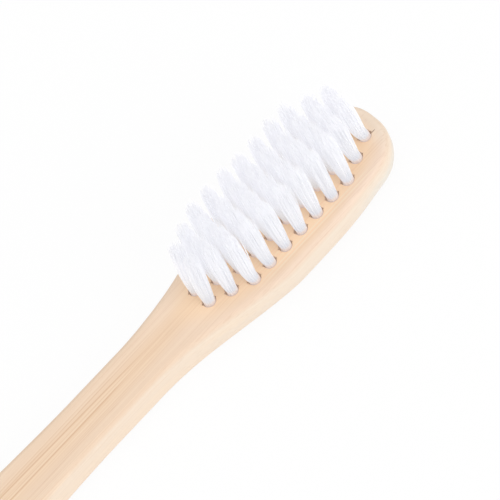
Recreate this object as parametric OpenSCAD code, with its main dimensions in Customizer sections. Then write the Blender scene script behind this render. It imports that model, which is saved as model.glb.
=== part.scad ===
// Manual toothbrush with a flat bamboo handle.
// Nylon tufts stand in blind holes of the head, each folded round a metal anchor driven into the wood.
// The brush lies on its back along X, with the toe of the head at +X and the bristles up.
// The origin is on the surface it lies on, under the middle of the brush.

/* [Handle] */
// Length from the toe of the head to the butt
brush_l = 190; // [170:1:210]
// Thickness of the neck and the grip
handle_t = 4.8; // [4.4:0.1:6]
// Radius along the edge of the top face
top_edge_r = 0.85; // [0.4:0.05:1.2]
// Radius along the edge of the back
back_edge_r = 1.6; // [0.8:0.1:2]

/* [Head] */
// Greatest width of the head
head_w = 12.5; // [11.8:0.1:14]
// How much thinner the head is than the neck, taken off its back
head_relief = 0.8; // [0:0.1:1]
// Length of the rounded toe, up to the greatest width
toe_l = 16.2; // [14:0.2:18]
// Length over which the head keeps its greatest width
head_straight_l = 2.3; // [1.5:0.1:6]
// Length of the shoulder, from the head down to the neck
shoulder_l = 20; // [18:0.5:26]

/* [Neck and grip] */
// Least width of the neck
neck_w = 6.2; // [5.4:0.1:8]
// Length over which the neck keeps its least width
neck_l = 4.5; // [2:0.5:15]
// Length over which the neck widens into the grip
flare_l = 67; // [50:1:75]
// Greatest width of the grip
grip_w = 12.4; // [10:0.1:14]
// Width of the grip where the butt starts to round off
butt_w = 11; // [9:0.1:13]
// Length of the rounded butt
butt_l = 9; // [6:0.5:14]

/* [Tuft holes] */
// Number of tuft columns along the head
columns = 11; // [9:1:11]
// Most tufts that stand across the head
rows = 4; // [3:1:4]
// Distance between columns
column_pitch = 2.5; // [2.3:0.05:2.7]
// Distance between rows
row_pitch = 2.15; // [1.95:0.05:2.3]
// Distance from the toe to the first column
toe_margin = 2.5; // [2.3:0.1:3.5]
// Diameter of a tuft hole
hole_d = 1.6; // [1.4:0.05:1.7]
// Depth of a tuft hole
hole_depth = 3; // [2.6:0.1:3.2]

/* [Bristles] */
// Height of the bristles over the head
bristle_h = 10; // [8:0.5:12]
// Gap between neighbouring tufts at their tips
tip_gap = 0.2; // [0.1:0.05:0.5]
// Side of a four-sided strand where it leaves the root
strand_w = 0.22; // [0.16:0.01:0.24]
// Most that a tip falls short of the full height
trim_scatter = 0.25; // [0:0.05:0.5]
// Drop from the face of the head to the top of a tuft's root
root_drop = 0.3; // [0.2:0.05:0.4]

/* [Anchors] */
// Width of an anchor plate, wider than the hole so that it bites the wood
anchor_w = 2; // [1.9:0.05:2.2]
// Thickness of an anchor plate
anchor_t = 0.25; // [0.2:0.01:0.3]
// Height of an anchor plate
anchor_h = 1.5; // [1:0.1:1.7]
// Height of the folded bristles under an anchor plate
fold_h = 0.4; // [0.2:0.05:0.5]
// Turn of the anchor plates away from the length of the brush
anchor_turn = 17; // [0:1:30]
// Clearance round a root in its hole and round an anchor in its slot
fit_gap = 0.03; // [0.02:0.01:0.06]

/* [Hidden] */
// Steps of each stretch of the outline and of the rounded edges
toe_steps = 13;
shoulder_steps = 12;
flare_steps = 14;
grip_steps = 6;
butt_steps = 12;
top_edge_steps = 3;
back_edge_steps = 4;
hole_sides = 20;
// Fullness of the rounded ends, where 2 is an ellipse
toe_power = 2.8;
butt_power = 2.3;
// Below 1 the shoulder falls sooner after the head
shoulder_skew = 0.8;
// Strands of a tuft: an inner and an outer ring
inner_strands = 3;
outer_strands = 9;
inner_ring_share = 0.34;
strand_sides = 4;
// Length of a strand that is buried in its root
strand_bury = 0.5;
// Turn that scatters the tips' heights from strand to strand
scatter_turn = 137.5;
// Overrun of cuts past the face they open
overrun = 0.5;

// Distances from the toe to the start of each stretch
shoulder_at = toe_l + head_straight_l;
neck_at = shoulder_at + shoulder_l;
flare_at = neck_at + neck_l;
grip_at = flare_at + flare_l;
butt_at = brush_l - butt_l;

root_d = hole_d - 2 * fit_gap;
hole_floor = handle_t - hole_depth;
root_top = handle_t - root_drop;
anchor_floor = hole_floor + fold_h;
tip_top = handle_t + bristle_h;

// Strand centres lie within these radii, so that their corners stay inside the root
// and clear of the next tuft at the tips
strand_corner_r = strand_w / sqrt(2);
root_spread = root_d / 2 - strand_corner_r;
tip_fan = (row_pitch - tip_gap) / root_d;
tip_spread = root_spread * tip_fan;

// Where each tuft stands: columns from the toe, fewer tufts in the end columns
spots = [
    for (c = [0:columns - 1])
        let (count = min(rows, 2 + min(c, columns - 1 - c)))
            for (r = [0:count - 1])
                [brush_l / 2 - toe_margin - column_pitch * c, row_pitch * (r - (count - 1) / 2)]
];

function two_digits(n) = n < 10 ? str("0", n) : str(n);
function tuft_name(i) = str("tuft_", two_digits(i + 1));

function mix(a, b, k) = a + (b - a) * k;
function ease(t) = t * t * (3 - 2 * t);

// Half of the outline, as distance from the toe, half width, and height of the back over the surface
half_outline = concat(
    [
        for (i = [0:toe_steps])
            let (q = 90 * i / toe_steps)
                [
                    toe_l * (1 - pow(cos(q), 2 / toe_power)),
                    head_w / 2 * pow(sin(q), 2 / toe_power),
                    head_relief
                ]
    ],
    [
        for (i = [0:shoulder_steps])
            let (k = ease(pow(i / shoulder_steps, shoulder_skew)))
                [
                    shoulder_at + shoulder_l * i / shoulder_steps,
                    mix(head_w, neck_w, k) / 2,
                    head_relief * (1 - k)
                ]
    ],
    [
        for (i = [0:flare_steps])
            [flare_at + flare_l * i / flare_steps, mix(neck_w, grip_w, ease(i / flare_steps)) / 2, 0]
    ],
    [
        for (i = [1:grip_steps])
            [mix(grip_at, butt_at, i / grip_steps), mix(grip_w, butt_w, ease(i / grip_steps)) / 2, 0]
    ],
    [
        for (i = [1:butt_steps])
            let (q = 90 * i / butt_steps)
                [
                    butt_at + butt_l * pow(sin(q), 2 / butt_power),
                    butt_w / 2 * pow(cos(q), 2 / butt_power),
                    0
                ]
    ]
);

// The whole outline as a loop of x, y and back height, from the toe round by the +Y side
last = len(half_outline) - 1;
loop = concat(
    [for (p = half_outline) [brush_l / 2 - p[0], p[1], p[2]]],
    [for (i = [last - 1:-1:1]) [brush_l / 2 - half_outline[i][0], -half_outline[i][1], half_outline[i][2]]]
);
loop_n = len(loop);

// Outward direction of the outline at one of its points
function outward(i) =
    let (
        before = loop[(i + loop_n - 1) % loop_n],
        after = loop[(i + 1) % loop_n],
        run = [after.x - before.x, after.y - before.y]
    )
    [run.y, -run.x] / norm(run);

// One turn round the handle, drawn in from the outline, at a height over the back or below the top face
function ring(inset, over_back, under_top) = [
    for (i = [0:loop_n - 1])
        let (
            out = outward(i),
            z = is_undef(over_back) ? handle_t - under_top : loop[i].z + over_back
        )
        [loop[i].x - inset * out.x, loop[i].y - inset * out.y, z]
];

edge_rings = concat(
    [
        for (i = [0:top_edge_steps])
            let (q = 90 * i / top_edge_steps)
                ring(top_edge_r * (1 - sin(q)), undef, top_edge_r * (1 - cos(q)))
    ],
    [
        for (i = [0:back_edge_steps])
            let (q = 90 * i / back_edge_steps)
                ring(back_edge_r * (1 - cos(q)), back_edge_r * (1 - sin(q)), undef)
    ]
);

// Two triangles for a patch whose corners are given clockwise, seen from outside
function patch(a, b, c, d) = [[a, b, c], [a, c, d]];

// Strips from one side of a ring to the other close the top and the back
function closing(first, up) = [
    for (i = [0:last - 1])
        let (
            near_a = first + i,
            near_b = first + i + 1,
            far_a = first + (loop_n - i) % loop_n,
            far_b = first + (loop_n - i - 1) % loop_n,
            strip = i == 0 ? [[near_a, far_b, near_b]]
                : i == last - 1 ? [[near_a, far_a, near_b]]
                : patch(near_a, far_a, far_b, near_b)
        )
        for (face = strip) up ? face : [face[2], face[1], face[0]]
];

module handle_blank() {
    last_ring = len(edge_rings) - 1;
    walls = [
        for (k = [0:last_ring - 1], i = [0:loop_n - 1])
            let (j = (i + 1) % loop_n)
                for (face = patch(k * loop_n + i, k * loop_n + j, (k + 1) * loop_n + j, (k + 1) * loop_n + i))
                    face
    ];
    polyhedron(
        points = [for (turn = edge_rings, p = turn) p],
        faces = concat(walls, closing(0, true), closing(last_ring * loop_n, false))
    );
}

// Upright plate across a tuft hole, standing on the folded bristles
module plate(gap, height) {
    rotate([0, 0, -anchor_turn])
        translate([-anchor_w / 2 - gap, -anchor_t / 2 - gap, anchor_floor])
            cube([anchor_w + 2 * gap, anchor_t + 2 * gap, height]);
}

// One piece of bamboo with a blind hole for each tuft and the slit that its anchor cuts
module handle() {
    color([0.93, 0.82, 0.71])
        difference() {
            handle_blank();
            for (spot = spots)
                translate([spot.x, spot.y, 0]) {
                    translate([0, 0, hole_floor])
                        cylinder(d = hole_d, h = hole_depth + overrun, $fn = hole_sides);
                    plate(fit_gap, handle_t + overrun - anchor_floor);
                }
        }
}

// Places of a tuft's strands, as a share of the spread and an angle
strand_places = concat(
    [for (i = [0:inner_strands - 1]) [inner_ring_share, 360 * i / inner_strands]],
    [for (i = [0:outer_strands - 1]) [1, 360 * (i + 1 / 2) / outer_strands]]
);

// Corners of a strand's end, round its centre
function strand_end(place, spread, corner_r, z) = [
    for (i = [0:strand_sides - 1])
        let (q = place[1] + 360 * (i + 1 / 2) / strand_sides)
            [
                spread * place[0] * cos(place[1]) + corner_r * cos(q),
                spread * place[0] * sin(place[1]) + corner_r * sin(q),
                z
            ]
];

// Straight four-sided strands that fan out from the root and never cross
module strands(turn) {
    ends = 2 * strand_sides;
    points = [
        for (i = [0:len(strand_places) - 1])
            let (
                place = strand_places[i],
                short = trim_scatter * (1 + sin(turn + scatter_turn * i)) / 2,
                foot = strand_end(place, root_spread, strand_corner_r, root_top - strand_bury),
                tip = strand_end(place, tip_spread, strand_corner_r * tip_fan, tip_top - short)
            )
            for (p = concat(foot, tip)) p
    ];
    faces = [
        for (i = [0:len(strand_places) - 1])
            let (foot = ends * i, tip = ends * i + strand_sides)
                for (
                    face = concat(
                        patch(foot, foot + 1, foot + 2, foot + 3),
                        patch(tip + 3, tip + 2, tip + 1, tip),
                        [
                            for (s = [0:strand_sides - 1])
                                let (n = (s + 1) % strand_sides)
                                    for (side = patch(foot + s, tip + s, tip + n, foot + n)) side
                        ]
                    )
                ) face
    ];
    polyhedron(points = points, faces = faces);
}

// Nylon tuft: strands fused to a root that fills the hole and has a slot for the anchor
module tuft(i) {
    color([0.95, 0.96, 0.98])
        translate([spots[i].x, spots[i].y, 0])
            difference() {
                union() {
                    translate([0, 0, hole_floor])
                        cylinder(d = root_d, h = root_top - hole_floor, $fn = hole_sides);
                    strands(scatter_turn * i);
                }
                plate(fit_gap, anchor_h + fit_gap);
            }
}

// Metal plates, one in each tuft, all alike
module anchors() {
    color([0.8, 0.76, 0.6])
        for (spot = spots)
            translate([spot.x, spot.y, 0])
                plate(0, anchor_h);
}

handle();
anchors();
for (i = [0:len(spots) - 1])
    tuft(i);
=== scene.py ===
"""Dresses a manual toothbrush: bamboo handle, nylon tufts and the anchors that hold them.

The brush lies on its back along X, with the toe of the head at +X and the bristles up.
"""

import math

import bpy
import numpy as np
from mathutils import Matrix, Vector


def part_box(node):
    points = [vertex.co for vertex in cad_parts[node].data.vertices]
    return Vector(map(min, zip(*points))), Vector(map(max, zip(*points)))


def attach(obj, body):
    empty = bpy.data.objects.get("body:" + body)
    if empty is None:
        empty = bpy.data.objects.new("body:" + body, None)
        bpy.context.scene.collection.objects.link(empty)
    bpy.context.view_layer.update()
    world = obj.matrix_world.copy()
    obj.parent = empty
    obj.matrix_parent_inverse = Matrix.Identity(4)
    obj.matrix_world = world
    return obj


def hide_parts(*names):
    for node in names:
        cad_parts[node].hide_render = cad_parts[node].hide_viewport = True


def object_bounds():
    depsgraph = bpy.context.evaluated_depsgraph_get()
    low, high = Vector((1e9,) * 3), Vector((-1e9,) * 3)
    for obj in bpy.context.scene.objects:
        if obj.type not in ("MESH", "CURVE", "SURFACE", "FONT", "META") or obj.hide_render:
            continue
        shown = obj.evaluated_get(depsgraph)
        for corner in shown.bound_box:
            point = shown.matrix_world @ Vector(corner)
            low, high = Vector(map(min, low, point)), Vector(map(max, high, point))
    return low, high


bl_info = {
    "name": "Manual toothbrush",
    "version": (1, 0, 0),
    "blender": (4, 5, 0),
    "location": "3D View > Sidebar > Toothbrush",
    "description": "Builds a bamboo toothbrush with nylon tufts around its packed frame",
    "category": "Object",
}

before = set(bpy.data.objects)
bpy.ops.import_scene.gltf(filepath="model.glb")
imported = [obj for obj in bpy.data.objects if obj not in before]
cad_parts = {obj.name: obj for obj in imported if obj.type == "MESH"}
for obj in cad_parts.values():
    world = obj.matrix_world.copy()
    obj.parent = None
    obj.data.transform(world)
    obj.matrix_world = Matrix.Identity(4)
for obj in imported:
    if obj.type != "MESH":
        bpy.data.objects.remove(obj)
cad_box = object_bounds()

MM = 0.001
BODY = "root"
GOLDEN_RATIO = (1 + math.sqrt(5)) / 2

# Steps along the outline of the handle and round its edges
OUTLINE_STEPS = 60
GRIP_STEPS = 30
BUTT_STEPS = 45
TOP_EDGE_STEPS = 8
BACK_EDGE_STEPS = 10

# A filament has points at these shares of its height, and its last points narrow to a rounded tip
PATH_LEVELS = (0, 0.06, 0.15, 0.3, 0.46, 0.62, 0.74, 0.84, 0.92, 0.975, 1)
TIP_TAPER = (0.97, 0.88, 0.74, 0.56, 0.36, 0.16)
CLUMPS = 4

handle_low, handle_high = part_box("handle")
tuft_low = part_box("tuft_01")[0]
anchor_low, anchor_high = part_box("anchors")


def srgb(red, green, blue):
    """A colour in linear light from its 0 to 255 values."""
    parts = [value / 255 for value in (red, green, blue)]
    return tuple(p / 12.92 if p <= 0.04045 else ((p + 0.055) / 1.055) ** 2.4 for p in parts)


def length(name, description, default):
    """A size in metres that a user can change."""
    return bpy.props.FloatProperty(
        name=name, description=description, default=default, min=0, precision=5, unit="LENGTH"
    )


def how_many(name, description, default):
    """How many of a thing there are."""
    return bpy.props.IntProperty(name=name, description=description, default=default, min=1)


def scalar(name, description, default, **limits):
    """A plain number that a user can change."""
    return bpy.props.FloatProperty(name=name, description=description, default=default, **limits)


def colour(name, description, default):
    """A colour that a user can change."""
    return bpy.props.FloatVectorProperty(
        name=name, description=description, default=default, size=3, min=0, max=1, subtype="COLOR"
    )


class ToothbrushHandleSizes(bpy.types.PropertyGroup):
    """Sizes of the bamboo handle."""

    brush_l: length("Brush length", "From the toe of the head to the butt", handle_high.x - handle_low.x)
    handle_t: length("Thickness", "Thickness of the neck and grip", handle_high.z - handle_low.z)
    top_edge_r: length("Top edge radius", "Rounding along the top face", 0.85 * MM)
    back_edge_r: length("Back edge radius", "Rounding along the back", 1.6 * MM)
    head_w: length("Head width", "Greatest width of the head", 12.5 * MM)
    head_relief: length("Head relief", "How much thinner the head is than the neck", 0.8 * MM)
    toe_l: length("Toe length", "Rounded length up to the greatest width", 16.2 * MM)
    head_straight_l: length("Head straight", "Length that keeps the greatest width", 2.3 * MM)
    shoulder_l: length("Shoulder length", "From the head down to the neck", 20 * MM)
    sway: length("Sway", "How far the shoulder swings off the middle line", 0.12 * MM)
    neck_w: length("Neck width", "Least width of the neck", 6.2 * MM)
    neck_l: length("Neck length", "Length that keeps the least width", 4.5 * MM)
    flare_l: length("Flare length", "From the neck up to the grip", 67 * MM)
    grip_w: length("Grip width", "Greatest width of the grip", 12.4 * MM)
    butt_w: length("Butt width", "Width where the butt starts to round off", 11 * MM)
    butt_l: length("Butt length", "Length of the rounded butt", 9 * MM)
    rim_chamfer: length("Rim chamfer", "Broken edge round each tuft hole", 0.03 * MM)
    toe_power: scalar("Toe fullness", "Fullness of the rounded toe, where 2 is an ellipse", 2.8, min=2)
    butt_power: scalar("Butt fullness", "Fullness of the rounded butt, where 2 is an ellipse", 2.3, min=2)
    shoulder_skew: scalar("Shoulder skew", "Below 1 the shoulder falls sooner after the head", 0.8, min=0.1)
    toe_fill: scalar("Toe fill", "Share by which the near corner of the toe is wider", 0.075, min=0)
    fill_at: length("Fill place", "From the toe to where its near corner is fullest", 2.8 * MM)
    fill_reach: length("Fill reach", "How soon the fullness fades on both sides", 2.2 * MM)
    shoulder_hollow: scalar("Hollow", "Share by which the far shoulder is narrower", 0.045, min=0)
    hollow_at: length("Hollow place", "From the toe to where the far shoulder is leanest", 28.5 * MM)
    hollow_reach: length("Hollow reach", "How soon the hollow fades on both sides", 4.5 * MM)
    edge_wave: scalar("Edge wave", "Share by which the rounding varies along the brush", 0.05, min=0)
    edge_wave_l: length("Edge wave length", "How fast the rounding varies", 9 * MM)
    edge_ripple: scalar("Edge ripple", "Share by which it varies within a short length too", 0.03, min=0)
    edge_ripple_l: length("Edge ripple length", "How fast it varies within a short length", 2.3 * MM)


class ToothbrushTuftSizes(bpy.types.PropertyGroup):
    """Sizes of the tufts, their holes and their anchors."""

    columns: how_many("Columns", "Tuft columns along the head", 11)
    rows: how_many("Rows", "Most tufts across the head", 4)
    loops: how_many("Filament loops", "Filaments folded round each anchor, with two ends each", 64)
    column_pitch: length("Column pitch", "Distance between columns", 2.5 * MM)
    row_pitch: length("Row pitch", "Distance between rows", 2.15 * MM)
    toe_margin: length("Toe margin", "From the toe to the first column", 2.5 * MM)
    hole_d: length("Hole diameter", "Diameter of a tuft hole", 1.6 * MM)
    hole_depth: length("Hole depth", "Depth of a tuft hole", handle_high.z - tuft_low.z)
    bristle_h: length("Bristle height", "Height of the bristles over the head", cad_box[1].z - handle_high.z)
    filament_d: length("Filament diameter", "Diameter of one nylon filament", 0.13 * MM)
    tip_fan: length("Tip fan", "Half the spread of a tuft's tips along its anchor", 0.92 * MM)
    tip_fan_across: length("Tip fan across", "Half the spread of a tuft's tips across its anchor", 1.18 * MM)
    opened: scalar("Opened", "Share of its height at which a tuft has fanned out", 0.5, min=0.1, max=1)
    near_opened: scalar("Near opened", "The same share in the near row of tufts", 0.8, min=0.1, max=1)
    lean: length("Lean", "How far all tufts lean towards the neck, and the near row twice as far", 0.065 * MM)
    wave: length("Wave", "How far the tufts of the near row lean to and fro along the brush", 0.165 * MM)
    wave_l: length("Wave length", "From one wave of the near row to the next", 16.5 * MM)
    wave_at: length("Wave place", "From the middle of the tufts towards the toe to a wave", 3 * MM)
    ripple: length("Ripple", "How far the near row leans in a second wave, four columns long", 0.14 * MM)
    near_lean: length("Near lean", "How far the tips of the near row lean inwards", 0.3 * MM)
    toe_lean: length("Toe lean", "How far the tips of the tufts at the toe lean back", 0.35 * MM)
    toe_bend: length("Toe bend", "How far the tufts at the toe bend back just above their holes", 0.36 * MM)
    neck_lean: length("Neck lean", "How far the tips of the tufts at the neck lean forward", 0.45 * MM)
    set_over: length("Set over", "How far each tuft stands towards the toe along its slit", 0.04 * MM)
    end_rise: length("End rise", "How much taller the tufts at both ends of the head are", 0.35 * MM)
    tip_dome: length("Tip dome", "How much shorter the outermost filaments of a tuft are", 0.6 * MM)
    trim_scatter: length("Trim scatter", "Most that chance takes off the length of a tip", 0.55 * MM)
    anchor_w: length("Anchor width", "Width of an anchor plate", 2 * MM)
    anchor_t: length("Anchor thickness", "Thickness of an anchor plate", 0.25 * MM)
    anchor_turn: scalar("Anchor turn", "Turn away from the brush's length", math.radians(17), subtype="ANGLE")
    fit_gap: length("Fit gap", "Clearance round an anchor in its slit", 0.03 * MM)
    slit_l: length("Slit length", "Length of the cut over an anchor at the top face", 1.79 * MM)
    slit_w: length("Slit width", "Width that the cut over an anchor closes to at the top face", 0.2 * MM)


class ToothbrushFinishes(bpy.types.PropertyGroup):
    """Colours of the toothbrush and of the floor, with painted light and shade on wood and nylon and the
    colours of their glows.
    """

    neck_wood: colour("Neck wood", "Top face along the neck", srgb(239, 213, 188))
    core_wood: colour("Core wood", "Warmer band along the middle of the neck", srgb(239, 209, 179))
    toe_wood: colour("Toe wood", "Top face at the toe", srgb(250, 226, 206))
    # Painted light: the top face between the tufts is painted brighter and warmer for the light the nylon
    # throws on it, and its glow takes the same colour
    tuft_lit_wood: colour("Field wood", "Top face between the tufts", srgb(254, 222, 187))
    # Partly the bamboo's own paler tone and partly painted light: the rounded sides are painted paler as if
    # more strongly lit
    side_wood_and_light: colour("Side wood", "Rounded sides", srgb(241, 225, 207))
    # Greyer, paler colour low on the sides near the toe
    grey_lower_toe_wood: colour("Grey lower toe wood", "Lower side of the toe", srgb(235, 231, 222))
    # Also the colour of the painted shade along the rounded top edge
    dark_fibre_and_shade: colour("Dark fibre", "Dark fibres of the bamboo", srgb(204, 160, 120))
    pale_fibre: colour("Pale fibre", "Pale fibres of the bamboo", srgb(251, 229, 203))
    speck: colour("Speck", "Small specks and cracks", srgb(120, 84, 56))
    nylon: colour("Nylon", "Filaments", srgb(212, 213, 217))
    # Painted shade: the filaments near the wood are painted greyer for the shade among the roots
    shaded_nylon_root: colour("Nylon root", "Filaments near the wood", srgb(204, 207, 214))
    # Painted light: warm where the filaments leave the wood, for the light the wood throws on them
    wood_lit_nylon_foot: colour("Nylon foot", "Filaments where they leave the wood", srgb(211, 202, 199))
    nylon_glow: colour("Nylon glow", "Light that the filaments pass on to each other", srgb(249, 248, 252))
    root_glow: colour("Root glow", "Cool light at the foot of the outer tufts", srgb(226, 230, 240))
    foot_glow: colour("Foot glow", "Warm light where the tufts leave the wood", srgb(242, 224, 216))
    wood_glow: colour("Wood glow", "Light that the wood passes on to the roots", srgb(250, 245, 240))
    anchor_metal: colour("Anchor metal", "Anchor plates", srgb(196, 190, 178))
    floor: colour("Floor", "Plain pale floor", srgb(250, 250, 250))


class ToothbrushView(bpy.types.PropertyGroup):
    """The camera and lights, placed as in the photograph."""

    pixels_per_mm: scalar("Pixels per millimetre", "Scale of the picture at the head", 9.2, min=1)
    distance: length("Camera distance", "From the camera to the head", 0.7)
    key_power: scalar("Key power", "Soft light from the near side", 2.9, min=0, unit="POWER")
    sky_level: scalar("Sky level", "Even light from all round", 0.75, min=0)


# Shader building


class Wire:
    """A shader socket whose sums add Math nodes."""

    def __init__(self, shader, socket):
        self.shader = shader
        self.socket = socket

    def math(self, operation, *values):
        return self.shader.node("ShaderNodeMath", {"operation": operation}, dict(enumerate(values)))

    def __add__(self, other):
        return self.math("ADD", self, other)

    def __radd__(self, other):
        return self.math("ADD", other, self)

    def __sub__(self, other):
        return self.math("SUBTRACT", self, other)

    def __rsub__(self, other):
        return self.math("SUBTRACT", other, self)

    def __mul__(self, other):
        return self.math("MULTIPLY", self, other)

    def __rmul__(self, other):
        return self.math("MULTIPLY", other, self)

    def __truediv__(self, other):
        return self.math("DIVIDE", self, other)

    def __pow__(self, other):
        return self.math("POWER", self, other)

    def __abs__(self):
        return self.math("ABSOLUTE", self)

    def larger(self, other):
        return self.math("MAXIMUM", self, other)

    def between(self, low, high):
        """0 below low, 1 above high and a smooth rise between them."""
        return self.shader.node(
            "ShaderNodeMapRange",
            {"interpolation_type": "SMOOTHSTEP"},
            {"Value": self, "From Min": low, "From Max": high},
        )


class Shader:
    """A node material that is built from expressions."""

    def __init__(self, name, world=False):
        self.owner = bpy.data.worlds.new(name) if world else bpy.data.materials.new(name)
        self.owner.use_nodes = True
        self.tree = self.owner.node_tree
        self.tree.nodes.clear()

    def node(self, kind, settings=None, sockets=None, output=0):
        """Adds a node, sets it up, fills or links its sockets and gives the wire of one output."""
        made = self.tree.nodes.new(kind)
        for name, value in (settings or {}).items():
            setattr(made, name, value)
        for name, value in (sockets or {}).items():
            if isinstance(value, Wire):
                self.tree.links.new(value.socket, made.inputs[name])
            else:
                made.inputs[name].default_value = value
        return Wire(self, made.outputs[output]) if made.outputs else None

    def mix(self, below, above, amount):
        """One colour over another."""
        rgba = [value if isinstance(value, Wire) else (*value, 1) for value in (below, above)]
        return self.node("ShaderNodeMix", {"data_type": "RGBA"}, {0: amount, 6: rgba[0], 7: rgba[1]}, 2)

    def stretched(self, vector, by):
        """A vector with each part multiplied."""
        return self.node("ShaderNodeVectorMath", {"operation": "MULTIPLY"}, {0: vector, 1: by})

    def parts(self, vector):
        """The three numbers of a vector."""
        split = self.node("ShaderNodeSeparateXYZ", None, {0: vector})
        return [Wire(self, socket) for socket in split.socket.node.outputs]

    def noise(self, vector, detail=2.0):
        """Noise from 0 to 1 whose features are about one unit of the vector."""
        return self.node("ShaderNodeTexNoise", None, {"Vector": vector, "Scale": 1.0, "Detail": detail})

    def surface(self, **sockets):
        """Ends the material in a Principled shader."""
        titles = {name: name.replace("_", " ").title().replace("Ior", "IOR") for name in sockets}
        named = {titles[name]: value for name, value in sockets.items()}
        shade = self.node("ShaderNodeBsdfPrincipled", None, named)
        self.node("ShaderNodeOutputMaterial", None, {"Surface": shade})
        return self.owner


def millimetres(shader):
    """Place on the brush in millimetres."""
    place = shader.node("ShaderNodeTexCoord", output="Object")
    return shader.stretched(place, (1 / MM, 1 / MM, 1 / MM))


def from_middle(x, y, handle, tufts, beyond):
    """0 in the middle of the tufts and 1 at the edge, growing with the square of the distance.

    At the ends of the field, 1 is reached so many millimetres beyond the last tufts.
    """
    field_l = tufts.column_pitch * (tufts.columns - 1) / MM
    field_w = tufts.row_pitch * tufts.rows / MM
    middle_x = (handle.brush_l / 2 - tufts.toe_margin) / MM - field_l / 2
    return ((x - middle_x) / (field_l / 2 + beyond)) ** 2 + (y / (field_w / 2)) ** 2


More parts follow.
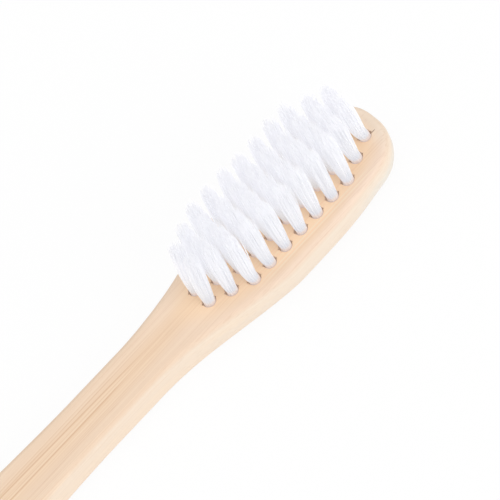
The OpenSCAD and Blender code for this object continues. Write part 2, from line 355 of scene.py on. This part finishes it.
def bamboo(finish, handle, tufts):
    """Sanded bamboo: fibres along the brush, paler sides that are partly their own tone and partly painted
    light, a few dark vessels and a small crack.

    Places and sizes are in millimetres. A faint glow between the tufts stands in for the light that
    the nylon throws on the wood there.
    """
    shader = Shader("bamboo")
    place = millimetres(shader)
    x, y, z = shader.parts(place)
    steepness = shader.parts(shader.node("ShaderNodeTexCoord", output="Normal"))[2]
    facing = abs(steepness)
    toe_x = handle.brush_l / 2 / MM
    slants_turn_at = 45

    def towards_toe(start, end):
        """0 as far as one distance from the toe in millimetres, and 1 from another on."""
        return x.between(toe_x - start, toe_x - end)

    def fibres(along, across, detail=2.0):
        """Noise drawn out along the brush, from the size of its patches in millimetres."""
        return shader.noise(shader.stretched(place, (1 / along, 1 / across, 1 / across)), detail)

    wander = fibres(34, 34, 1)

    def line(at, width, slope=0.0):
        """A thin line along the brush at one place across it, or turned a little."""
        off = abs(y - at + slope * (x - toe_x + slants_turn_at) + (wander - 0.5) * 0.3)
        return 1 - off.between(width * 0.3, width)

    bands = fibres(60, 2.0).between(0.32, 0.68)
    vessels = fibres(38, 0.17, 1)
    streaks = fibres(18, 0.42, 3)
    grain = fibres(5, 0.16, 2)
    dashes = fibres(1.6, 0.10, 1)
    breaks = fibres(7, 0.9, 1).between(0.40, 0.60)
    plain = towards_toe(46, 28) * 0.3

    face = shader.mix(finish.neck_wood, finish.toe_wood, towards_toe(42, 6))
    core = 1 - abs(y - 0.4 + (wander - 0.5) * 2).between(0.3, 1.9)
    face = shader.mix(face, finish.core_wood, core * (1 - towards_toe(30, 18)) * 0.8)
    from_field = from_middle(x, y, handle, tufts, 0)
    # Painted light: near and between the tufts the top face takes the brighter, warmer colour
    face = shader.mix(finish.tuft_lit_wood, face, from_field.between(0.9, 2.0))
    # The toe end takes the same paler side colour, partly painted light
    face = shader.mix(face, finish.side_wood_and_light, towards_toe(3.5, 0.5) * 0.75)
    face = shader.mix(face, finish.dark_fibre_and_shade, bands * 0.06)
    side = shader.mix(finish.side_wood_and_light, finish.pale_fibre, bands * 0.30)
    side = shader.mix(side, finish.neck_wood, (1 - towards_toe(44, 22)) * 0.22)
    # Low on the sides near the toe the colour turns greyer and paler
    lower_toe = towards_toe(12, 4) * (1 - z.between(2.2, 4.4))
    side = shader.mix(side, finish.grey_lower_toe_wood, lower_toe * 0.85)
    # Surfaces that face less steeply up take the paler side colour, partly painted light
    upward = facing.between(0.42, 1.0)
    wood = shader.mix(side, face, upward)
    # Painted shade: a darker band where the top face rounds over into the side
    rounding = facing.between(0.25, 0.65) * (1 - facing.between(0.75, 1.0))
    wood = shader.mix(wood, finish.dark_fibre_and_shade, rounding * 0.12)

    dark = vessels.between(0.57, 0.66) * 0.20 + streaks.between(0.58, 0.72) * 0.14
    dark = dark + grain.between(0.60, 0.74) * 0.18 + dashes.between(0.72, 0.80) * 0.30
    pale = (1 - vessels.between(0.34, 0.44)) * 0.22 + (1 - grain.between(0.26, 0.40)) * 0.22
    wood = shader.mix(wood, finish.dark_fibre_and_shade, dark * (1 - plain) * (0.55 + 0.45 * upward))
    wood = shader.mix(wood, finish.pale_fibre, pale * (1 - plain))

    on_neck = (1 - towards_toe(42, 34)) * upward
    near_line = line(-0.10, 0.10) * (1 - towards_toe(43, 39))
    broken_lines = (line(1.22, 0.09) + line(0.28, 0.10)) * breaks
    dark_lines = line(0.72, 0.11, 0.018) + near_line + broken_lines * 0.4
    wood = shader.mix(wood, finish.dark_fibre_and_shade, dark_lines * on_neck * 0.46)
    pale_lines = line(0.48, 0.12, 0.018) + line(0.1, 0.11) + line(-0.34, 0.12)
    wood = shader.mix(wood, finish.pale_fibre, pale_lines * on_neck * 0.3)
    beside_tufts = towards_toe(26, 18) * (1 - towards_toe(6, 3.5)) * upward
    pale_pair = line(-4.22, 0.12) + line(-4.62, 0.12)
    wood = shader.mix(wood, finish.pale_fibre, pale_pair * beside_tufts * 0.7)
    wood = shader.mix(wood, finish.dark_fibre_and_shade, line(-4.86, 0.14) * beside_tufts * 0.08)

    def spot(at_x, at_y, half_l, half_w):
        """A small mark at a place on the top face."""
        reach = ((x - at_x) / half_l) ** 2 + ((y - at_y) / half_w) ** 2
        return 1 - reach.between(0.35, 1.0)

    crack = spot(toe_x - 1.62, -1.50, 0.50, 0.06) * facing
    wood = shader.mix(wood, finish.speck, crack * 0.7)

    relief = vessels * 0.5 + streaks * 0.4 + grain * 0.4 - crack
    normal = shader.node("ShaderNodeBump", None, {"Strength": 0.4, "Distance": 0.04 * MM, "Height": relief})
    lit = (1 - from_field.between(0.5, 1.35)) * steepness.between(0.2, 0.6)
    light = shader.mix((0, 0, 0), finish.tuft_lit_wood, lit)
    return shader.surface(
        base_color=wood,
        roughness=0.52 + grain * 0.16,
        normal=normal,
        specular_ior_level=0.3,
        emission_color=light,
        emission_strength=0.14,
    )


def nylon(finish, handle, tufts):
    """Satin white filaments, painted a touch greyer towards the root for the shade there and warm where they
    leave the wood for the light the wood throws on them.

    Light passes through a tuft from filament to filament many more times than a ray is followed,
    so a faint glow stands in for what is lost. Places are in millimetres.
    """
    shader = Shader("bristle_nylon")
    place = millimetres(shader)
    x, y, z = shader.parts(place)
    fine = shader.noise(shader.stretched(place, (1 / 0.22, 1 / 0.22, 1 / 9)), 1.0)
    top, toe_x = handle.handle_t / MM, handle.brush_l / 2 / MM

    def upwards(start, end):
        """0 up to one height over the top face in millimetres, and 1 from another on."""
        return z.between(top + start, top + end)

    def dimmed(light, share):
        """Part of a light."""
        return [part * share for part in light]

    above_foot = upwards(0, 1)
    # Painted shade: greyer low among the roots, plain nylon higher up
    tone = shader.mix(finish.shaded_nylon_root, finish.nylon, upwards(-0.5, 3))
    # Painted light: the warm foot colour where the filaments leave the wood
    tone = shader.mix(finish.wood_lit_nylon_foot, tone, above_foot)
    tone = shader.mix(tone, dimmed(finish.nylon, 0.97), fine.between(0.45, 0.75) * 0.6)

    inner = 1 - from_middle(x, y - 1, handle, tufts, 7).between(0.25, 1.05)
    glow = finish.nylon_glow
    root = shader.mix(dimmed(finish.root_glow, 0.74), dimmed(glow, 0.69), upwards(0.8, 4))
    root = shader.mix(root, dimmed(finish.wood_glow, 0.70), inner)
    root = shader.mix(dimmed(finish.foot_glow, 0.77), root, above_foot)
    middle = shader.mix(dimmed(glow, 0.765), dimmed(glow, 0.85), inner)
    light = shader.mix(root, middle, upwards(0.5, 6))
    far_tip = shader.mix(dimmed(glow, 0.7), dimmed(glow, 0.8), x.between(toe_x - 10, toe_x - 2))
    tip = shader.mix(dimmed(glow, 0.86), far_tip, y.between(-3.5, -0.5))
    light = shader.mix(light, tip, upwards(7.5, 10.5))
    return shader.surface(
        base_color=tone,
        roughness=0.5,
        specular_ior_level=0.25,
        subsurface_weight=1.0,
        subsurface_radius=(1.0, 1.0, 1.0),
        subsurface_scale=1.2 * MM,
        emission_color=light,
        emission_strength=0.302,
    )


def anchor_metal(finish):
    """Rolled metal strip with fine scratches along it."""
    shader = Shader("anchor_metal")
    place = millimetres(shader)
    rolled = shader.noise(shader.stretched(place, (1 / 0.6, 1 / 0.6, 1 / 0.04)), 3.0)
    tone = shader.mix(finish.anchor_metal, [part * 0.75 for part in finish.anchor_metal], rolled)
    normal = shader.node("ShaderNodeBump", None, {"Strength": 0.2, "Distance": 0.01 * MM, "Height": rolled})
    return shader.surface(base_color=tone, metallic=1.0, roughness=0.3 + rolled * 0.2, normal=normal)


def seen_directly(shader):
    """1 for rays that show the surface to the eye, straight on or in a reflection."""
    rays = shader.node("ShaderNodeLightPath").socket.node.outputs
    ways = ("Is Camera Ray", "Is Glossy Ray", "Is Transmission Ray")
    camera, glossy, through = [Wire(shader, rays[way]) for way in ways]
    return camera.larger(glossy).larger(through)


def pale_floor(finish):
    """Plain floor that reads as white and keeps a part of the shadow."""
    shader = Shader("pale_floor")
    shaded = shader.node("ShaderNodeBsdfDiffuse", None, {"Color": (*finish.floor, 1)})
    white = shader.node("ShaderNodeEmission", None, {"Color": (1, 1, 1, 1), "Strength": 1.0})
    both = shader.node("ShaderNodeMixShader", None, {0: seen_directly(shader) * 0.93, 1: shaded, 2: white})
    shader.node("ShaderNodeOutputMaterial", None, {"Surface": both})
    return shader.owner


def even_sky(view):
    """White all round, dimmer as a light than it looks."""
    shader = Shader("even_sky", world=True)
    seen = seen_directly(shader)
    level = view.sky_level + seen * (1 - view.sky_level)
    glow = shader.node("ShaderNodeBackground", None, {"Color": (1, 1, 1, 1), "Strength": level})
    shader.node("ShaderNodeOutputWorld", None, {"Surface": glow})
    return shader.owner


# Mesh building


def new_object(name, vertices, faces, material=None):
    """A mesh object from plain lists."""
    mesh = bpy.data.meshes.new(name)
    mesh.from_pydata(vertices, [], faces)
    mesh.validate()
    mesh.update()
    piece = bpy.data.objects.new(name, mesh)
    bpy.context.scene.collection.objects.link(piece)
    if material:
        mesh.materials.append(material)
    return piece


def ease(t):
    """A smooth rise from 0 to 1."""
    return t * t * (3 - 2 * t)


def blend(a, b, share):
    """A value part way from one to another."""
    return a + (b - a) * share


def swing(off, swing_l):
    """A wave between -1 and 1 of a given length, with a crest where off is 0."""
    return math.cos(2 * math.pi * off / swing_l)


def half_outline(handle):
    """Distance from the toe, half width and height of the back, from the toe to the butt."""
    turn = np.linspace(0, math.pi / 2, OUTLINE_STEPS + 1)
    toe = [
        handle.toe_l * (1 - np.cos(turn).clip(0) ** (2 / handle.toe_power)),
        handle.head_w / 2 * np.sin(turn) ** (2 / handle.toe_power),
        np.full_like(turn, handle.head_relief),
    ]
    t = np.linspace(0, 1, OUTLINE_STEPS + 1)
    fall = ease(t**handle.shoulder_skew)
    shoulder_at = handle.toe_l + handle.head_straight_l
    shoulder = [
        shoulder_at + handle.shoulder_l * t,
        blend(handle.head_w, handle.neck_w, fall) / 2,
        handle.head_relief * (1 - fall),
    ]
    flare_at = shoulder_at + handle.shoulder_l + handle.neck_l
    flare = [flare_at + handle.flare_l * t, blend(handle.neck_w, handle.grip_w, ease(t)) / 2, 0 * t]
    grip_at = flare_at + handle.flare_l
    butt_at = handle.brush_l - handle.butt_l
    t = np.linspace(0, 1, GRIP_STEPS + 1)[1:]
    grip = [blend(grip_at, butt_at, t), blend(handle.grip_w, handle.butt_w, ease(t)) / 2, 0 * t]
    turn = np.linspace(0, math.pi / 2, BUTT_STEPS + 1)[1:]
    butt = [
        butt_at + handle.butt_l * np.sin(turn) ** (2 / handle.butt_power),
        handle.butt_w / 2 * np.cos(turn).clip(0) ** (2 / handle.butt_power),
        0 * turn,
    ]
    return np.concatenate([np.stack(part, axis=1) for part in (toe, shoulder, flare, grip, butt)])


def handle_blank(handle, material):
    """The sanded plank, as turns round its outline from the top face to the back."""
    half = half_outline(handle)
    half[:, 0] = handle.brush_l / 2 - half[:, 0]
    mirrored = half[-2:0:-1] * (1, -1, 1)
    loop = np.concatenate([half, mirrored])

    def swell(at, reach):
        """1 at a distance from the toe, fading away on both sides of it."""
        return np.exp(-(((handle.brush_l / 2 - loop[:, 0] - at) / reach) ** 2))

    near, far = loop[:, 1] < 0, loop[:, 1] > 0
    fuller = handle.toe_fill * near * swell(handle.fill_at, handle.fill_reach)
    leaner = handle.shoulder_hollow * far * swell(handle.hollow_at, handle.hollow_reach)
    loop[:, 1] *= 1 + fuller - leaner
    loop[:, 1] -= handle.sway * swell(handle.toe_l + handle.shoulder_l / 2, handle.shoulder_l / 2)
    count, last = len(loop), len(half) - 1
    run = np.roll(loop, -1, axis=0) - np.roll(loop, 1, axis=0)
    outward = np.stack([run[:, 1], -run[:, 0]], axis=1)
    outward /= np.linalg.norm(outward, axis=1)[:, None]

    wave = handle.edge_wave * np.sin(loop[:, 0] / handle.edge_wave_l + np.sign(loop[:, 1]))
    ripple = handle.edge_ripple * np.sin(loop[:, 0] / handle.edge_ripple_l)
    top_r, back_r = [radius * (1 + wave + ripple) for radius in (handle.top_edge_r, handle.back_edge_r)]
    lip = handle.top_edge_r / 4
    turns = [(top_r + lip, np.full(count, handle.handle_t))]
    for q in np.linspace(0, math.pi / 2, TOP_EDGE_STEPS + 1):
        turns.append((top_r * (1 - math.sin(q)), handle.handle_t - top_r * (1 - math.cos(q))))
    middle = (handle.handle_t - top_r + loop[:, 2] + back_r) / 2
    turns.append((np.zeros(count), middle))
    for q in np.linspace(0, math.pi / 2, BACK_EDGE_STEPS + 1):
        turns.append((back_r * (1 - math.cos(q)), loop[:, 2] + back_r * (1 - math.sin(q))))
    turns.append((back_r + lip, loop[:, 2]))

    vertices = np.concatenate(
        [np.column_stack([loop[:, :2] - outward * inset[:, None], height]) for inset, height in turns]
    )
    faces = []
    for k in range(len(turns) - 1):
        for i in range(count):
            j = (i + 1) % count
            faces.append((k * count + i, (k + 1) * count + i, (k + 1) * count + j, k * count + j))

    def close(first, up):
        """Strips across a turn, from side to side."""
        for i in range(last):
            strip = [first + i, first + i + 1, first + (count - i - 1) % count, first + (count - i) % count]
            strip = list(dict.fromkeys(strip))
            faces.append(strip if up else strip[::-1])

    close(0, True)
    close((len(turns) - 1) * count, False)
    return new_object("bamboo_handle", vertices.tolist(), faces, material)


def tuft_spots(handle, tufts):
    """Where each tuft stands, in the order of the frame's nodes."""
    spots = []
    for column in range(tufts.columns):
        count = min(tufts.rows, 2 + min(column, tufts.columns - 1 - column))
        x = handle.brush_l / 2 - tufts.toe_margin - tufts.column_pitch * column
        spots += [(x, tufts.row_pitch * (row - (count - 1) / 2)) for row in range(count)]
    return spots


def keyhole(tufts, reach, half_t, grow, steps=16):
    """Outline of a tuft hole and its anchor's slit, from half the slit's length and width and a margin."""
    radius = tufts.hole_d / 2 + grow
    edge = math.asin(half_t / radius)
    arc = [edge + (math.pi - 2 * edge) * i / steps for i in range(steps + 1)]
    side = [(reach, -half_t), (reach, half_t)] + [(radius * math.cos(q), radius * math.sin(q)) for q in arc]
    outline = side + [(-x, -y) for x, y in side]
    turn = Matrix.Rotation(-tufts.anchor_turn, 2)
    return [turn @ Vector(point) for point in outline]


def drill(piece, handle, tufts):
    """Cuts the tuft holes and anchor slits into the handle."""
    top, chamfer = handle.handle_t, handle.rim_chamfer
    deep = [part / 2 + tufts.fit_gap for part in (tufts.anchor_w, tufts.anchor_t)]
    shut = [tufts.slit_l / 2, tufts.slit_w / 2]
    levels = [
        (top - tufts.hole_depth, *deep, 0),
        (anchor_high.z, *deep, 0),
        (top - chamfer, *shut, 0),
        (top, *[part + chamfer / 2 for part in shut], chamfer),
        (top + chamfer, *[part + chamfer for part in shut], 2 * chamfer),
    ]
    vertices, faces = [], []
    for spot_x, spot_y in tuft_spots(handle, tufts):
        first = len(vertices)
        for height, reach, half_t, grow in levels:
            outline = keyhole(tufts, reach, half_t, grow)
            vertices += [(spot_x + point.x, spot_y + point.y, height) for point in outline]
        n = len(outline)
        for k in range(len(levels) - 1):
            for i in range(n):
                j = (i + 1) % n
                low, high = first + k * n, first + (k + 1) * n
                faces.append((low + i, low + j, high + j, high + i))
        faces.append(tuple(first + i for i in reversed(range(n))))
        faces.append(tuple(first + (len(levels) - 1) * n + i for i in range(n)))
    drills = new_object("drills", vertices, faces)
    cut = piece.modifiers.new("holes", "BOOLEAN")
    cut.object = drills
    cut.operation = "DIFFERENCE"
    cut.solver = "EXACT"
    shape = bpy.context.evaluated_depsgraph_get()
    shape.update()
    drilled = bpy.data.meshes.new_from_object(piece.evaluated_get(shape))
    piece.modifiers.clear()
    piece.data = drilled
    bpy.data.objects.remove(drills)
    drilled.shade_smooth()
    drilled.set_sharp_from_angle(angle=math.radians(30))


def filament_paths(handle, tufts, chance, bend, tilt, rise, opened):
    """Centre lines of one tuft's folded filaments, from tip to tip, round the anchor, and their radii.

    Each path lies in a local frame: along the anchor, across it, and up. The bend moves the tuft
    sideways from just above the hole, and the tilt leans its tips. The rise is the extra height of
    the tuft, which has fanned out at the opened share of its height. In the hole the filaments
    stand closer together, and those next to the anchor have a slight waist.
    """
    packed_low, packed_high, packed_near_mouth, packed_at_mouth = 0.86, 0.88, 0.91, 0.9
    below_mouth = 0.35 * MM
    waist, waist_w = 0.12, 0.25 * MM
    clumping = 0.25
    lean_scatter, tip_scatter, fan_scatter = 0.08 * MM, 0.07 * MM, 0.08

    top, floor = handle.handle_t, handle.handle_t - tufts.hole_depth
    thick = tufts.filament_d / 2
    packed_r = tufts.hole_d / 2 - thick
    plate_low, plate_high = anchor_low.z, anchor_high.z
    clear = tufts.anchor_t / 2 + thick

    rank = np.arange(tufts.loops) + 0.5
    spread = packed_r * np.sqrt(rank / rank[-1])
    angle = math.pi * ((rank / GOLDEN_RATIO + chance.uniform()) % 1)
    along, across = spread * np.cos(angle), spread * np.sin(angle)

    room = np.sqrt(np.maximum(packed_r**2 - (along * packed_low) ** 2, clear**2))
    beside = clear + (room - clear) * across / packed_r
    depth = thick + (plate_low - floor - 2 * thick) * (1 - across / packed_r)

    place = np.stack([along, across])
    heads = place[:, chance.choice(tufts.loops, CLUMPS, replace=False)]
    nearest = np.linalg.norm(place[:, :, None] - heads[:, None], axis=0).argmin(axis=1)
    pull = clumping * (heads[:, nearest] - place)
    squeeze = 1 - waist * np.exp(-((across / waist_w) ** 2))
    lean = tilt + chance.normal(0, lean_scatter, 2)
    halves = []
    for sign in (1, -1):
        n = len(along)
        scatter = tufts.trim_scatter * chance.uniform(0, 1, n) ** 1.6
        free_h = tufts.bristle_h + rise - scatter - tufts.tip_dome * (spread / packed_r) ** 2
        fan = np.outer((tufts.tip_fan, tufts.tip_fan_across), chance.normal(1, fan_scatter, n)) / packed_r
        stray = chance.normal(0, tip_scatter, (2, n))
        points = []
        for q in np.radians((0, 30, 60, 90)):
            height = plate_low - (plate_low - floor - depth) * math.cos(q)
            points.append((along * packed_low, sign * beside * math.sin(q), height))
        points.append((along * packed_high, sign * beside, np.full(n, plate_high)))
        first = along * squeeze * packed_near_mouth + tufts.set_over
        second = sign * blend(beside, across * packed_near_mouth, 0.8)
        points.append((first, second, np.full(n, top - below_mouth)))
        for level in PATH_LEVELS:
            freed = min(1, 4 * level)
            open_out = blend(1, fan, ease(min(1, level / opened))) * blend(packed_at_mouth, 1, freed)
            drift = level**1.5
            bow = bend * (1 - (1 - level) ** 6) + (tufts.set_over, 0)
            first = along * open_out[0] * blend(squeeze, 1, freed) + bow[0]
            second = sign * (across * open_out[1] + pull[1] * drift) + bow[1]
            points.append(
                (
                    first + (stray[0] + lean[0] + pull[0]) * drift,
                    second + (stray[1] + lean[1]) * drift,
                    top + free_h * level,
                )
            )
        halves.append(np.stack([np.stack(point, axis=-1) for point in points], axis=1))
    up, down = halves
    paths = np.concatenate([down[:, :0:-1], up], axis=1)
    taper = np.ones(up.shape[1])
    taper[-len(TIP_TAPER) :] = TIP_TAPER
    radii = thick * np.concatenate([taper[:0:-1], taper])
    return paths, radii


def tube_mesh(paths, radii, sides=6):
    """Vertices and faces of round tubes along paths that bend across their first axis."""
    count, rings, _ = paths.shape
    tangent = np.gradient(paths, axis=1)
    tangent /= np.linalg.norm(tangent, axis=2)[..., None]
    axis = np.array((1.0, 0.0, 0.0))
    beside = axis - tangent * (tangent @ axis)[..., None]
    beside /= np.linalg.norm(beside, axis=2)[..., None]
    other = np.cross(tangent, beside)
    q = np.arange(sides) * 2 * math.pi / sides
    ring = beside[:, :, None] * np.cos(q)[:, None] + other[:, :, None] * np.sin(q)[:, None]
    vertices = paths[:, :, None] + ring * radii[None, :, None, None]
    index = np.arange(count * rings * sides).reshape(count, rings, sides)
    a, b = index[:, :-1], index[:, 1:]
    walls = np.stack([a, np.roll(a, -1, axis=2), np.roll(b, -1, axis=2), b], axis=-1).reshape(-1, 4)
    ends = np.concatenate([index[:, 0, ::-1], index[:, -1]])
    return vertices.reshape(-1, 3), walls.tolist() + ends.tolist()


# Operators


class TOOTHBRUSH_OT_handle(bpy.types.Operator):
    """Build the bamboo handle with its tuft holes"""

    bl_idname = "toothbrush.handle"
    bl_label = "Bamboo handle"

    def execute(self, context):
        scene = context.scene
        handle, tufts = scene.toothbrush_handle, scene.toothbrush_tufts
        piece = handle_blank(handle, bamboo(scene.toothbrush_finishes, handle, tufts))
        drill(piece, handle, tufts)
        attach(piece, BODY)
        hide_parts("handle")
        return {"FINISHED"}


class TOOTHBRUSH_OT_tufts(bpy.types.Operator):
    """Build every tuft from nylon filaments folded round its anchor"""

    bl_idname = "toothbrush.tufts"
    bl_label = "Nylon tufts"

    def execute(self, context):
        scene = context.scene
        handle, tufts = scene.toothbrush_handle, scene.toothbrush_tufts
        material = nylon(scene.toothbrush_finishes, handle, tufts)
        turn = np.array(Matrix.Rotation(-tufts.anchor_turn, 3, "Z"))
        field_l = tufts.column_pitch * (tufts.columns - 1)
        field_w = tufts.row_pitch * (tufts.rows - 1)
        middle_x = handle.brush_l / 2 - tufts.toe_margin - field_l / 2
        for number, (x, y) in enumerate(tuft_spots(handle, tufts), start=1):
            chance = np.random.default_rng(number)
            along_field = (x - middle_x) / (field_l / 2)
            end = along_field**5
            near = max(0, -y / field_w * 2)
            wave = tufts.wave * swing(x - middle_x - tufts.wave_at, tufts.wave_l)
            wave += tufts.ripple * swing(x - middle_x + tufts.column_pitch, 4 * tufts.column_pitch)
            towards_toe = (wave - tufts.lean) * near - tufts.lean - tufts.toe_bend * max(0, end)
            bend = towards_toe * turn[0, :2]
            tilt = -(tufts.toe_lean if end > 0 else tufts.neck_lean) * end * turn[0, :2]
            tilt = tilt + tufts.near_lean * near * turn[1, :2]
            rise = tufts.end_rise * along_field**4
            opened = blend(tufts.opened, tufts.near_opened, near)
            paths, radii = filament_paths(handle, tufts, chance, bend, tilt, rise, opened)
            vertices, faces = tube_mesh(paths, radii)
            vertices = vertices @ turn.T + (x, y, 0)
            piece = new_object(f"nylon_tuft_{number:02d}", vertices.tolist(), faces, material)
            piece.data.shade_smooth()
            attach(piece, BODY)
            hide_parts(f"tuft_{number:02d}")
        return {"FINISHED"}


class TOOTHBRUSH_OT_anchors(bpy.types.Operator):
    """Give the anchor plates their rolled metal"""

    bl_idname = "toothbrush.anchors"
    bl_label = "Metal anchors"

    def execute(self, context):
        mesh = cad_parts["anchors"].data
        mesh.materials.clear()
        mesh.materials.append(anchor_metal(context.scene.toothbrush_finishes))
        return {"FINISHED"}


class TOOTHBRUSH_OT_stage(bpy.types.Operator):
    """Lay the floor, light it and place the camera"""

    bl_idname = "toothbrush.stage"
    bl_label = "Floor, light and camera"

    def execute(self, context):
        scene = context.scene
        self.floor(scene)
        self.lights(scene)
        self.camera(scene)
        scene.view_settings.view_transform = "Standard"
        return {"FINISHED"}

    def floor(self, scene):
        """A square many brush lengths wide."""
        reach = 20 * scene.toothbrush_handle.brush_l
        corners = [(-reach, -reach, 0), (reach, -reach, 0), (reach, reach, 0), (-reach, reach, 0)]
        ground = new_object("floor", corners, [(0, 1, 2, 3)], pale_floor(scene.toothbrush_finishes))

    def lights(self, scene):
        """Even light from all round, a soft light from the near side and a weaker one from above.

        Both lights point at the head, whose place is a share of the way from the middle to the toe.
        """
        view = scene.toothbrush_view
        scene.world = even_sky(view)
        head_share = 0.8
        target = Vector((handle_high.x * head_share, 0, handle_high.z))
        for name, place, size, share in (
            ("key_light", (0.25, -0.75, 0.55), 0.7, 1.0),
            ("top_light", (-0.35, 0.2, 1.0), 1.0, 0.6),
        ):
            lamp = bpy.data.lights.new(name, "AREA")
            lamp.shape = "SQUARE"
            lamp.size = size
            lamp.energy = view.key_power * share
            light = bpy.data.objects.new(name, lamp)
            light.location = target + Vector(place)
            light.rotation_euler = (target - light.location).to_track_quat("-Z", "Y").to_euler()
            light.visible_camera = False
            scene.collection.objects.link(light)

    def camera(self, scene):
        """The photograph's view: its directions are those of the picture's right, up and towards the eye."""
        view, handle, tufts = scene.toothbrush_view, scene.toothbrush_handle, scene.toothbrush_tufts
        right = Vector((0.6756, -0.699, -0.2342)).normalized()
        back = Vector((-0.1658, -0.4535, 0.8753))
        back = (back - right * back.dot(right)).normalized()
        up = back.cross(right)
        field_x = handle.brush_l / 2 - tufts.toe_margin - tufts.column_pitch * (tufts.columns - 1) / 2
        picture_w = 500
        field_pixel = Vector((279.85, 212.37))
        off = (field_pixel - Vector((picture_w, picture_w)) / 2) / view.pixels_per_mm * MM
        target = Vector((field_x, 0, handle.handle_t)) - right * off.x + up * off.y
        lens = bpy.data.cameras.new("camera")
        lens.sensor_width = 36
        lens.lens = lens.sensor_width * view.distance / (picture_w / view.pixels_per_mm * MM)
        lens.clip_start, lens.clip_end = 0.01, 50
        eye = bpy.data.objects.new("camera", lens)
        turn = Matrix((right, up, back)).transposed().to_4x4()
        eye.matrix_world = Matrix.Translation(target + back * view.distance) @ turn
        scene.collection.objects.link(eye)
        scene.camera = eye


class TOOTHBRUSH_PT_panel(bpy.types.Panel):
    """Sizes, colours and steps of the toothbrush"""

    bl_idname = "TOOTHBRUSH_PT_panel"
    bl_label = "Manual toothbrush"
    bl_space_type = "VIEW_3D"
    bl_region_type = "UI"
    bl_category = "Toothbrush"

    def draw(self, context):
        layout = self.layout
        for name in PROPERTY_GROUPS:
            group = getattr(context.scene, name)
            box = layout.box()
            for key in group.bl_rna.properties.keys():
                if key not in ("rna_type", "name"):
                    box.prop(group, key)
        for step in STEPS:
            layout.operator(step.bl_idname)


STEPS = (TOOTHBRUSH_OT_stage, TOOTHBRUSH_OT_handle, TOOTHBRUSH_OT_tufts, TOOTHBRUSH_OT_anchors)
PROPERTY_GROUPS = {
    "toothbrush_handle": ToothbrushHandleSizes,
    "toothbrush_tufts": ToothbrushTuftSizes,
    "toothbrush_finishes": ToothbrushFinishes,
    "toothbrush_view": ToothbrushView,
}
CLASSES = (*PROPERTY_GROUPS.values(), *STEPS, TOOTHBRUSH_PT_panel)


def register():
    for item in CLASSES:
        bpy.utils.register_class(item)
    for name, group in PROPERTY_GROUPS.items():
        setattr(bpy.types.Scene, name, bpy.props.PointerProperty(type=group))


def unregister():
    for name in PROPERTY_GROUPS:
        delattr(bpy.types.Scene, name)
    for item in reversed(CLASSES):
        bpy.utils.unregister_class(item)


def main():
    register()
    bpy.ops.toothbrush.stage()
    bpy.ops.toothbrush.handle()
    bpy.ops.toothbrush.tufts()
    bpy.ops.toothbrush.anchors()


if __name__ == "__main__":
    main()
